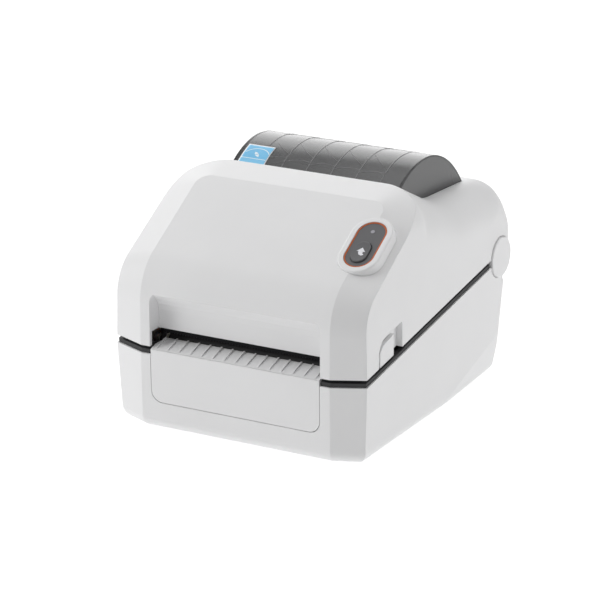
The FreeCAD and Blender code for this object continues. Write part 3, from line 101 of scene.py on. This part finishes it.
class Shader:
    """A material with a Principled shader and short calls for adding nodes to it."""

    def __init__(self, name):
        self.material = bpy.data.materials.new(name)
        self.material.use_nodes = True
        self.nodes = self.material.node_tree.nodes
        self.links = self.material.node_tree.links
        self.bsdf = self.nodes["Principled BSDF"]
        self.coords = self.nodes.new("ShaderNodeTexCoord")

    def add(self, kind, inputs=None, **settings):
        node = self.nodes.new(kind)
        for key, value in settings.items():
            setattr(node, key, value)
        for key, value in (inputs or {}).items():
            if isinstance(value, bpy.types.NodeSocket):
                self.links.new(value, node.inputs[key])
            else:
                node.inputs[key].default_value = value
        return node

    def set(self, **values):
        for key, value in values.items():
            self.bsdf.inputs[key.replace("_", " ")].default_value = value

    def plug(self, socket, name):
        self.links.new(socket, self.bsdf.inputs[name])

    def stretched(self, scale):
        """Object coordinates scaled unevenly, for brushed and turned finishes."""
        mapping = self.add("ShaderNodeMapping", {"Vector": self.coords.outputs["Object"]})
        mapping.inputs["Scale"].default_value = scale
        return mapping.outputs["Vector"]

    def noise(self, scale, detail=2.0, vector=None):
        vector = vector or self.coords.outputs["Object"]
        return self.add("ShaderNodeTexNoise", {"Vector": vector, "Scale": scale, "Detail": detail})

    def spread(self, value, low, high):
        """Map the middle of a noise onto a range of values."""
        node = self.add("ShaderNodeMapRange", {"Value": value, "From Min": NOISE_LOW,
                                               "From Max": NOISE_HIGH, "To Min": low, "To Max": high})
        return node.outputs["Result"]

    def blend(self, factor, a, b):
        node = self.add("ShaderNodeMix", data_type="RGBA")
        for socket, value in ((node.inputs[0], factor), (node.inputs[6], a), (node.inputs[7], b)):
            if isinstance(value, bpy.types.NodeSocket):
                self.links.new(value, socket)
            else:
                socket.default_value = value
        return node.outputs[2]

    def math(self, operation, a, b=0.0):
        node = self.add("ShaderNodeMath", {0: a, 1: b}, operation=operation)
        return node.outputs[0]

    def relief(self, height, depth, edge=0.0):
        """Bump from a height field, over edges softened by a radius."""
        bump = self.add("ShaderNodeBump", {"Height": height, "Strength": 1.0, "Distance": depth})
        if edge > 0.0:
            soft = self.add("ShaderNodeBevel", {"Radius": edge}, samples=BEVEL_SAMPLES)
            self.links.new(soft.outputs["Normal"], bump.inputs["Normal"])
        self.plug(bump.outputs["Normal"], "Normal")


def rgba(colour, gain=1.0):
    """Colour with full alpha, made lighter or darker by a factor."""
    return tuple(min(1.0, c * gain) for c in colour) + (1.0,)


def moulded(name, colour, roughness, grain=0.5, depth=0.004, mottle=0.02, edge=0.3, **sockets):
    """Injection-moulded plastic or rubber: spark grain, faint flow mottling, uneven gloss."""
    s = Shader(name)
    flow = s.noise(22.0, 3.0).outputs["Fac"]
    grain_noise = s.noise(1.0 / (grain * MM), 3.0).outputs["Fac"]
    s.plug(s.blend(s.spread(flow, 0.0, 1.0), rgba(colour, 1.0 - mottle), rgba(colour, 1.0 + mottle)),
           "Base Color")
    uneven = s.math("ADD", s.spread(flow, -0.03, 0.03), s.spread(grain_noise, -0.03, 0.03))
    s.plug(s.math("ADD", uneven, roughness), "Roughness")
    s.relief(grain_noise, depth * MM, edge * MM)
    s.set(**sockets)
    return s.material


def machined(name, colour, roughness, direction):
    """Metal with tool or rolling marks that repeat finely along the given axes."""
    s = Shader(name)
    scale = [MARKS_ACROSS if k in direction else MARKS_ALONG for k in "xyz"]
    marks = s.noise(1.0, 2.0, s.stretched(scale)).outputs["Fac"]
    cloud = s.noise(90.0, 3.0).outputs["Fac"]
    s.plug(s.blend(s.spread(cloud, 0.0, 1.0), rgba(colour, 0.9), rgba(colour, 1.05)), "Base Color")
    s.plug(s.math("ADD", s.spread(marks, -0.07, 0.09), roughness), "Roughness")
    s.relief(marks, MARKS_DEPTH, METAL_EDGE)
    s.set(Metallic=1.0)
    return s.material


def circuit_board(name, colour):
    """Solder-masked board: copper runs show as lighter lines under the mask."""
    s = Shader(name)
    runs = s.add("ShaderNodeTexBrick", {"Vector": s.coords.outputs["Object"], "Scale": 95.0,
                                        "Mortar Size": 0.012, "Brick Width": 0.9, "Row Height": 0.22})
    runs.inputs["Color1"].default_value = rgba(colour)
    runs.inputs["Color2"].default_value = rgba(colour, 0.85)
    runs.inputs["Mortar"].default_value = rgba(colour, 1.9)
    s.plug(runs.outputs["Color"], "Base Color")
    cloud = s.noise(400.0).outputs["Fac"]
    s.plug(s.spread(cloud, 0.28, 0.4), "Roughness")
    s.relief(runs.outputs["Fac"], 0.03 * MM)
    return s.material


def smoked_plastic(name):
    """Dark, slightly see-through plastic with a satin skin."""
    s = Shader(name)
    ripple = s.noise(30.0, 2.0).outputs["Fac"]
    dark, light = rgba((0.055, 0.056, 0.058)), rgba((0.065, 0.066, 0.068))
    s.plug(s.blend(s.spread(ripple, 0.0, 1.0), dark, light), "Base Color")
    s.plug(s.spread(ripple, 0.25, 0.28), "Roughness")
    s.relief(ripple, 0.004 * MM)
    s.set(Transmission_Weight=0.22, IOR=1.68)
    return s.material


def frosted_lens(name, colour):
    """Milky plastic that scatters the light of the lamp under it."""
    s = Shader(name)
    frost = s.noise(1500.0).outputs["Fac"]
    s.plug(s.blend(s.spread(frost, 0.0, 1.0), rgba(colour, 0.92), rgba(colour)), "Base Color")
    s.plug(s.spread(frost, 0.25, 0.4), "Roughness")
    s.relief(frost, 0.01 * MM, 0.2 * MM)
    s.set(Subsurface_Weight=0.3, Coat_Weight=0.4)
    s.bsdf.inputs["Subsurface Radius"].default_value = (MM, MM, MM)
    return s.material


def label_print(name):
    """Blue service label: white border, plain band, an arc and a leaf, all from the sheet's UVs."""
    s = Shader(name)
    uv = s.add("ShaderNodeSeparateXYZ", {"Vector": s.coords.outputs["UV"]})
    u, v = uv.outputs["X"], uv.outputs["Y"]

    def near(a, centre, half):
        """One within half of the centre, else zero."""
        return s.math("LESS_THAN", s.math("ABSOLUTE", s.math("SUBTRACT", a, centre)), half)

    def disc(cu, cv, stretch, radius):
        """Distance to a stretched disc, below zero inside it."""
        du = s.math("MULTIPLY", s.math("SUBTRACT", u, cu), stretch)
        dv = s.math("SUBTRACT", v, cv)
        square = s.math("ADD", s.math("POWER", du, 2.0), s.math("POWER", dv, 2.0))
        return s.math("SUBTRACT", s.math("SQRT", square), radius)

    inside = s.math("MULTIPLY", near(u, 0.5, 0.465), near(v, 0.5, 0.455))
    band = s.math("LESS_THAN", v, 0.27)
    rule = near(v, 0.275, 0.012)
    upper = s.math("GREATER_THAN", v, 0.55)
    arc = s.math("MULTIPLY", near(disc(0.52, 0.30, 1.0, 0.50), 0.0, 0.014), upper)
    leaf = s.math("MULTIPLY", s.math("LESS_THAN", disc(0.42, 0.36, 1.15, 0.24), 0.0),
                  s.math("LESS_THAN", disc(0.62, 0.62, 1.15, 0.24), 0.0))
    stem = near(s.math("SUBTRACT", v, s.math("MULTIPLY", u, 0.75)), 0.10, 0.018)
    leaf = s.math("MULTIPLY", leaf, s.math("SUBTRACT", 1.0, stem))
    white = s.math("MAXIMUM", s.math("MAXIMUM", arc, leaf), rule)
    paper = s.noise(900.0).outputs["Fac"]
    field = s.blend(band, rgba((0.16, 0.52, 0.82)), rgba((0.20, 0.56, 0.84)))
    printed = s.blend(white, field, rgba((0.80, 0.88, 0.92)))
    tint = s.blend(inside, rgba((0.86, 0.87, 0.88)), printed)
    s.plug(s.blend(s.spread(paper, 0.0, 0.06), tint, rgba((0.9, 0.9, 0.9))), "Base Color")
    s.plug(s.spread(paper, 0.3, 0.38), "Roughness")
    s.relief(paper, 0.004 * MM)
    return s.material


def make_materials():
    return {
        "shell_white": moulded("shell_white", (0.80, 0.80, 0.805), 0.45, 0.45, 0.006, 0.012, 0.45,
                               Specular_IOR_Level=0.22),
        "gasket_dark": moulded("gasket_dark", (0.022, 0.022, 0.024), 0.55, 0.4, 0.006, 0.1, 0.3),
        "foot_rubber": moulded("foot_rubber", (0.03, 0.03, 0.03), 0.8, 0.7, 0.02, 0.15, 0.3),
        "frame_dark": moulded("frame_dark", (0.035, 0.035, 0.038), 0.55, 0.6, 0.008, 0.1, 0.3),
        "board_green": circuit_board("board_green", (0.03, 0.16, 0.08)),
        "socket_black": moulded("socket_black", (0.02, 0.02, 0.02), 0.45, 0.4, 0.004, 0.1, 0.2),
        "socket_metal": machined("socket_metal", (0.62, 0.62, 0.63), 0.32, "x"),
        "switch_black": moulded("switch_black", (0.02, 0.02, 0.02), 0.2, 0.4, 0.002, 0.1, 0.3,
                                Coat_Weight=0.3),
        "steel": machined("steel", (0.6, 0.6, 0.61), 0.28, "x"),
        "platen_rubber": moulded("platen_rubber", (0.04, 0.04, 0.042), 0.75, 0.25, 0.01, 0.12, 0.2),
        "acetal_ivory": moulded("acetal_ivory", (0.78, 0.74, 0.62), 0.4, 0.5, 0.004, 0.03, 0.1,
                                Subsurface_Weight=0.1),
        "brass_gear": machined("brass_gear", (0.78, 0.56, 0.26), 0.3, "x"),
        "motor_metal": machined("motor_metal", (0.35, 0.35, 0.37), 0.42, "z"),
        "guide_grey": moulded("guide_grey", (0.16, 0.165, 0.175), 0.5, 0.5, 0.006, 0.05, 0.35),
        "hub_dark": moulded("hub_dark", (0.06, 0.06, 0.065), 0.5, 0.5, 0.006, 0.08, 0.3),
        "sensor_black": moulded("sensor_black", (0.025, 0.025, 0.028), 0.5, 0.4, 0.005, 0.1, 0.2),
        "smoked_window": smoked_plastic("smoked_window"),
        "accent_orange": moulded("accent_orange", (0.50, 0.095, 0.010), 0.5, 0.4, 0.003, 0.05, 0.15,
                                 Coat_Weight=0.05),
        "control_dark": moulded("control_dark", (0.10, 0.10, 0.105), 0.45, 0.35, 0.005, 0.05, 0.2),
        "lamp_lens": frosted_lens("lamp_lens", (0.33, 0.32, 0.36)),
        "aluminium_fins": machined("aluminium_fins", (0.7, 0.7, 0.72), 0.35, "yz"),
        "head_ceramic": moulded("head_ceramic", (0.45, 0.33, 0.22), 0.15, 0.6, 0.002, 0.06, 0.15,
                                Coat_Weight=0.5),
        "tear_steel": machined("tear_steel", (0.014, 0.014, 0.015), 0.5, "x"),
        "latch_grey": moulded("latch_grey", (0.14, 0.145, 0.155), 0.5, 0.5, 0.006, 0.05, 0.3),
    }


# ---------------------------------------------------------------- mesh helpers
def mesh_object(name, vertices, faces, material, smooth=True):
    """A new object with outward normals and one material."""
    mesh = bpy.data.meshes.new(name)
    mesh.from_pydata([tuple(v) for v in vertices], [], faces)
    work = bmesh.new()
    work.from_mesh(mesh)
    bmesh.ops.recalc_face_normals(work, faces=work.faces)
    work.to_mesh(mesh)
    work.free()
    for polygon in mesh.polygons:
        polygon.use_smooth = smooth
    item = bpy.data.objects.new(name, mesh)
    bpy.context.scene.collection.objects.link(item)
    mesh.materials.append(material)
    return item


def join_meshes(name, parts, material):
    """One object from several (vertices, faces) lists."""
    vertices, faces = [], []
    for part_vertices, part_faces in parts:
        base = len(vertices)
        vertices += part_vertices
        faces += [[base + i for i in face] for face in part_faces]
    return mesh_object(name, vertices, faces, material)


class Arch:
    """The window's outer section, read from its box and its two ellipse radii."""

    def __init__(self):
        low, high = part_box("window")
        self.half = high.x
        self.z = high.z - ARCH_RZ
        self.low_z = low.z
        sine = (low.z - self.z) / ARCH_RZ
        self.y = high.y - ARCH_RY * math.sqrt(1.0 - sine * sine)
        self.front_y = low.y

    def point(self, x, angle, out):
        """A point on the section, out from the outer skin."""
        normal = Vector((0.0, -math.cos(angle) / ARCH_RY, math.sin(angle) / ARCH_RZ)).normalized()
        skin = Vector((x, self.y - ARCH_RY * math.cos(angle), self.z + ARCH_RZ * math.sin(angle)))
        return skin + normal * out

    def rear_angle(self):
        return math.pi - math.asin((self.low_z - self.z) / ARCH_RZ)

    def front_angle(self):
        return math.acos((self.y - self.front_y) / ARCH_RY)


BEAD_TOP = 0.55                  # width of a bead's top over the width of its foot


def strip(path, width, height):
    """Closed bar with a trapezoid section along a path of (point, normal, sideways)."""
    vertices, faces = [], []
    for point, normal, sideways in path:
        for side, rise, share in ((-1, 0, 1.0), (-1, 1, BEAD_TOP), (1, 1, BEAD_TOP), (1, 0, 1.0)):
            vertices.append(point + sideways * side * width / 2 * share + normal * rise * height)
    count = len(path)
    for i in range(count - 1):
        for k in range(4):
            a, b = 4 * i + k, 4 * i + (k + 1) % 4
            faces.append([a, b, b + 4, a + 4])
    faces.append([0, 1, 2, 3])
    faces.append([4 * count - 4 + k for k in (3, 2, 1, 0)])
    return vertices, faces


# ---------------------------------------------------------------- window details
# Sizes are width and height. Angles are start, end and bow, round the section from the front.
RIB_PITCH = 18.4 * MM
RIB_COUNT = 6
RIB_SHIFT = 0.9 * MM
RIB_SIZE = (0.8 * MM, 0.22 * MM)
RIB_INSET = 0.03                 # angle between a hoop's end and the foot of the window
BRACE_SIZE = (0.55 * MM, 0.16 * MM)
BRACE_ANGLES = (math.radians(85.0), math.radians(73.0), math.radians(-1.4))
WAVE_ANGLES = (math.radians(67.8), math.radians(69.6), math.radians(1.2))
RIM_SIZE = (2.0 * MM, 0.13 * MM)
RIM_LINE = (1.1 * MM, 0.08 * MM)
SUNK = 0.05 * MM
HOOP_STEPS = 60
BRACE_STEPS = 16
LABEL_X = (-59.4 * MM, -39.2 * MM)
LABEL_ANGLES = (math.radians(62.7), math.radians(76.4))
LABEL_FACES = (0.10 * MM, 0.24 * MM)     # its two faces, out from the skin
LABEL_CELLS = (12, 10)


def arch_path(arch, x0, x1, angle0, angle1, bow, steps):
    """Path along the skin of the window between two points, bowed by an angle halfway."""
    line = []
    for i in range(steps + 1):
        t = i / steps
        angle = angle0 + (angle1 - angle0) * t + bow * math.sin(math.pi * t)
        line.append((x0 + (x1 - x0) * t, angle))
    path = []
    for i, (x, angle) in enumerate(line):
        point = arch.point(x, angle, -SUNK)
        normal = (arch.point(x, angle, MM) - point).normalized()
        before, after = line[max(0, i - 1)], line[min(steps, i + 1)]
        along = (arch.point(*after, 0.0) - arch.point(*before, 0.0)).normalized()
        path.append((point, normal, along.cross(normal)))
    return path


def window_ribs(arch, material):
    """Fine hoops across the barrel, slanting braces between them and a scalloped line."""
    first, last = arch.front_angle() + RIB_INSET, arch.rear_angle() - RIB_INSET
    places = [(i - (RIB_COUNT - 1) / 2) * RIB_PITCH + RIB_SHIFT for i in range(RIB_COUNT)]
    parts = [strip(arch_path(arch, x, x, first, last, 0.0, HOOP_STEPS), *RIB_SIZE) for x in places]
    for x in places[:-1]:
        for top, low, bow in (BRACE_ANGLES, WAVE_ANGLES):
            for start, end, lean in ((top, low, bow), (math.pi - top, math.pi - low, -bow)):
                path = arch_path(arch, x, x + RIB_PITCH, start, end, lean, BRACE_STEPS)
                parts.append(strip(path, *BRACE_SIZE))
    ribs = join_meshes("window_ribs", parts, material)
    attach(ribs, "cover")


def window_rim(arch, material):
    """Dark edge where the barrel meets each end wall, on both faces of the corner."""
    first, last = arch.front_angle(), arch.rear_angle()
    parts = []
    for side in (-1, 1):
        x = side * (arch.half - RIM_SIZE[0] / 2 + SUNK)
        parts.append(strip(arch_path(arch, x, x, first, last, 0.0, HOOP_STEPS), *RIM_SIZE))
        wall = side * (arch.half - SUNK)
        path = []
        for point, normal, _ in arch_path(arch, wall, wall, first, last, 0.0, HOOP_STEPS):
            path.append((point - normal * RIM_LINE[0] / 2, Vector((side, 0.0, 0.0)), normal))
        parts.append(strip(path, *RIM_LINE))
    rim = join_meshes("window_rim", parts, material)
    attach(rim, "cover")


def window_label(arch, material):
    """Thin printed label on the front left of the window."""
    x0, x1 = LABEL_X
    low, high = LABEL_ANGLES
    across, along = LABEL_CELLS
    vertices, faces, uvs = [], [], []
    for out in LABEL_FACES:
        for j in range(along + 1):
            for i in range(across + 1):
                u, v = i / across, j / along
                vertices.append(arch.point(x0 + (x1 - x0) * u, low + (high - low) * v, out))
                uvs.append((u, v))
    size = (across + 1) * (along + 1)

    def at(i, j, layer):
        return layer * size + j * (across + 1) + i

    for j in range(along):
        for i in range(across):
            for layer in (0, 1):
                faces.append([at(i, j, layer), at(i + 1, j, layer),
                              at(i + 1, j + 1, layer), at(i, j + 1, layer)])
    for i in range(across):
        for j in (0, along):
            faces.append([at(i, j, 0), at(i + 1, j, 0), at(i + 1, j, 1), at(i, j, 1)])
    for j in range(along):
        for i in (0, across):
            faces.append([at(i, j, 0), at(i, j + 1, 0), at(i, j + 1, 1), at(i, j, 1)])
    label = mesh_object("service_label", vertices, faces, material)
    uv_layer = label.data.uv_layers.new(name="UVMap")
    for loop in label.data.loops:
        uv_layer.data[loop.index].uv = uvs[loop.vertex_index]
    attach(label, "cover")


# ---------------------------------------------------------------- feed button symbol
def slope_point(u, v, w):
    """Point across, up and out from the slope's origin."""
    return SLOPE_ORIGIN + Vector((u, 0.0, 0.0)) + SLOPE_UP * v + SLOPE_NORMAL * w


def feed_symbol(material):
    """Plain up arrow with a bent tail, inlaid in the dish of the button."""
    outline = [(-0.1, 2.6), (2.3, 0.2), (1.1, 0.1), (1.2, -0.9), (2.2, -1.7), (1.2, -2.5), (-0.6, -1.9),
               (-1.2, -0.6), (-1.3, 0.2), (-2.4, 0.1)]
    work = bmesh.new()
    ring = [work.verts.new((x * ICON_SCALE, y * ICON_SCALE, 0.0)) for x, y in outline]
    work.faces.new(ring)
    bmesh.ops.triangulate(work, faces=work.faces[:])
    bmesh.ops.subdivide_edges(work, edges=work.edges[:], cuts=ICON_CUTS, use_grid_fill=True)
    made = bmesh.ops.extrude_face_region(work, geom=work.faces[:])
    raised = {v for v in made["geom"] if isinstance(v, bmesh.types.BMVert)}
    for vert in work.verts:
        x, y = vert.co.x, vert.co.y
        dish = DISH_FLOOR + DISH_RADIUS - math.sqrt(DISH_RADIUS ** 2 - x * x - y * y)
        lift = ICON_HALF if vert in raised else -ICON_HALF
        vert.co = slope_point(ICON_U + x, ICON_V + y, dish + lift)
    bmesh.ops.recalc_face_normals(work, faces=work.faces)
    mesh = bpy.data.meshes.new("feed_symbol")
    work.to_mesh(mesh)
    work.free()
    symbol = bpy.data.objects.new("feed_symbol", mesh)
    bpy.context.scene.collection.objects.link(symbol)
    mesh.materials.append(material)
    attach(symbol, "button")


# ---------------------------------------------------------------- dress the CAD nodes
def dress_nodes(materials):
    """Give each CAD node the material of its slot in the record."""
    slots = {row["node"]: row["material_slot"] for row in frame["record"]["subparts"]}
    for name, item in frame["nodes"].items():
        item.data.materials.clear()
        item.data.materials.append(materials[slots[name]])


# ---------------------------------------------------------------- stage
def make_stage():
    s = Shader("floor_white")
    cloud = s.noise(3.0).outputs["Fac"]
    low, high = [rgba((tone, tone, tone)) for tone in FLOOR_TONES]
    s.plug(s.blend(s.spread(cloud, 0.0, 1.0), low, high), "Base Color")
    s.set(Roughness=0.9, Emission_Strength=FLOOR_GLOW)
    s.bsdf.inputs["Emission Color"].default_value = WHITE
    reach = FLOOR_REACH
    floor = mesh_object("floor", [(-reach, -reach, 0.0), (reach, -reach, 0.0), (reach, reach, 0.0),
                                  (-reach, reach, 0.0)], [[0, 1, 2, 3]], s.material, False)


def make_lights():
    world = bpy.data.worlds.new("studio")
    world.use_nodes = True
    back = world.node_tree.nodes["Background"]
    back.inputs["Color"].default_value = WHITE
    back.inputs["Strength"].default_value = WORLD_STRENGTH
    bpy.context.scene.world = world
    for name, place, size, power in LIGHTS:
        data = bpy.data.lights.new(name, "AREA")
        data.shape = "SQUARE"
        data.size = size
        data.energy = power
        lamp = bpy.data.objects.new(name, data)
        bpy.context.scene.collection.objects.link(lamp)
        lamp.location = place
        aim = LIGHT_AIM - Vector(place)
        lamp.rotation_mode = "QUATERNION"
        lamp.rotation_quaternion = aim.to_track_quat("-Z", "Y")


def make_camera():
    az, el = CAMERA_AZIMUTH, CAMERA_ELEVATION
    back = Vector((math.sin(az) * math.cos(el), -math.cos(az) * math.cos(el), math.sin(el)))
    data = bpy.data.cameras.new("camera")
    data.lens = CAMERA_LENS
    data.sensor_width = SENSOR_WIDTH
    data.clip_start, data.clip_end = CLIP_NEAR, CLIP_FAR
    camera = bpy.data.objects.new("camera", data)
    bpy.context.scene.collection.objects.link(camera)
    camera.location = CAMERA_TARGET + back * CAMERA_DISTANCE
    camera.rotation_euler = (math.pi / 2 - el, 0.0, az)
    bpy.context.scene.camera = camera
    bpy.context.scene.view_settings.view_transform = "Standard"


materials = make_materials()
dress_nodes(materials)
window_arch = Arch()
# The ribs are moulded in the window's own smoked plastic; their lighter colour is a painted highlight,
# standing in for light caught along the beads.
window_ribs(window_arch, moulded("smoked_rib_painted_highlight", (0.13, 0.13, 0.133), 0.22, 0.5, 0.002, 0.05, 0.05))
window_rim(window_arch, moulded("smoked_edge", (0.010, 0.010, 0.011), 0.22, 0.5, 0.002, 0.1, 0.05))
window_label(window_arch, label_print("label_print"))
feed_symbol(moulded("symbol_white", (0.78, 0.78, 0.82), 0.4, 0.3, 0.002, 0.03, 0.05))
make_stage()
make_lights()
make_camera()
